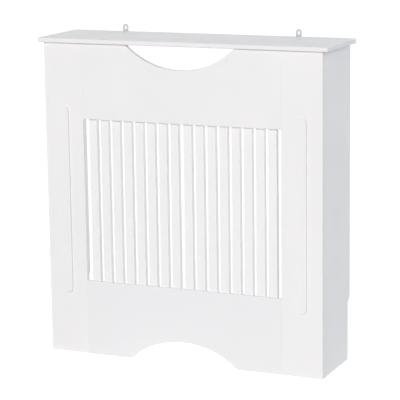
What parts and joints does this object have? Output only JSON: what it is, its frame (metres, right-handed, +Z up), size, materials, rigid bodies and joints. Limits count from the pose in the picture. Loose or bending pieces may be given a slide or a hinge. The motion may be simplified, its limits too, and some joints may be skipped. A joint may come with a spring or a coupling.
{
  "type": "radiator cover cabinet",
  "caption": "White painted flat-pack radiator cover with an overhanging shelf, slatted front, concave top vent, arched foot, skirting steps and metal wall tabs.",
  "frame": {"origin": "on the floor, at the middle of the shelf's length and depth", "axes": "+X to the right seen from the front, +Y towards the wall, +Z up"},
  "size_m": [0.78, 0.206, 0.837],
  "materials": {
    "shelf_paint": "satin white paint on smooth fibreboard, a little glossier than the rest",
    "side_paint": "satin white paint on smooth fibreboard",
    "stile_paint": "satin white paint on smooth fibreboard",
    "rail_paint": "satin white paint on smooth fibreboard",
    "slat_paint": "satin white paint on smooth fibreboard",
    "softwood": "bare planed softwood",
    "block_plastic": "white moulded plastic, fine matt texture",
    "tab_steel": "bright zinc plate on pressed steel",
    "screw_steel": "bright zinc plate on rolled thread",
    "pin_steel": "bright drawn steel",
    "beech": "bare fluted beech dowel"
  },
  "bodies": {
    "root": {"batten_screws": "screw_steel", "block_screws": "screw_steel", "bottom_rail": "rail_paint", "cleat_screws": "screw_steel", "corner_dowels": "beech", "left_corner_batten": "softwood", "left_front_block": "block_plastic", "left_lower_seam_cleat": "softwood", "left_rail_block": "block_plastic", "left_rear_block": "block_plastic", "left_side_panel": "side_paint", "left_stile": "stile_paint", "left_stile_moulding": "stile_paint", "left_upper_seam_cleat": "softwood", "left_wall_tab": "tab_steel", "rail_dowels": "beech", "right_corner_batten": "softwood", "right_front_block": "block_plastic", "right_lower_seam_cleat": "softwood", "right_rail_block": "block_plastic", "right_rear_block": "block_plastic", "right_side_panel": "side_paint", "right_stile": "stile_paint", "right_stile_moulding": "stile_paint", "right_upper_seam_cleat": "softwood", "right_wall_tab": "tab_steel", "shelf_dowels": "beech", "slat_01": "slat_paint", "slat_02": "slat_paint", "slat_03": "slat_paint", "slat_04": "slat_paint", "slat_05": "slat_paint", "slat_06": "slat_paint", "slat_07": "slat_paint", "slat_08": "slat_paint", "slat_09": "slat_paint", "slat_10": "slat_paint", "slat_11": "slat_paint", "slat_12": "slat_paint", "slat_13": "slat_paint", "slat_14": "slat_paint", "slat_15": "slat_paint", "slat_16": "slat_paint", "slat_pins": "pin_steel", "top_rail": "rail_paint", "top_shelf": "shelf_paint", "wall_tab_screws": "screw_steel"}
  },
  "joints": []
}
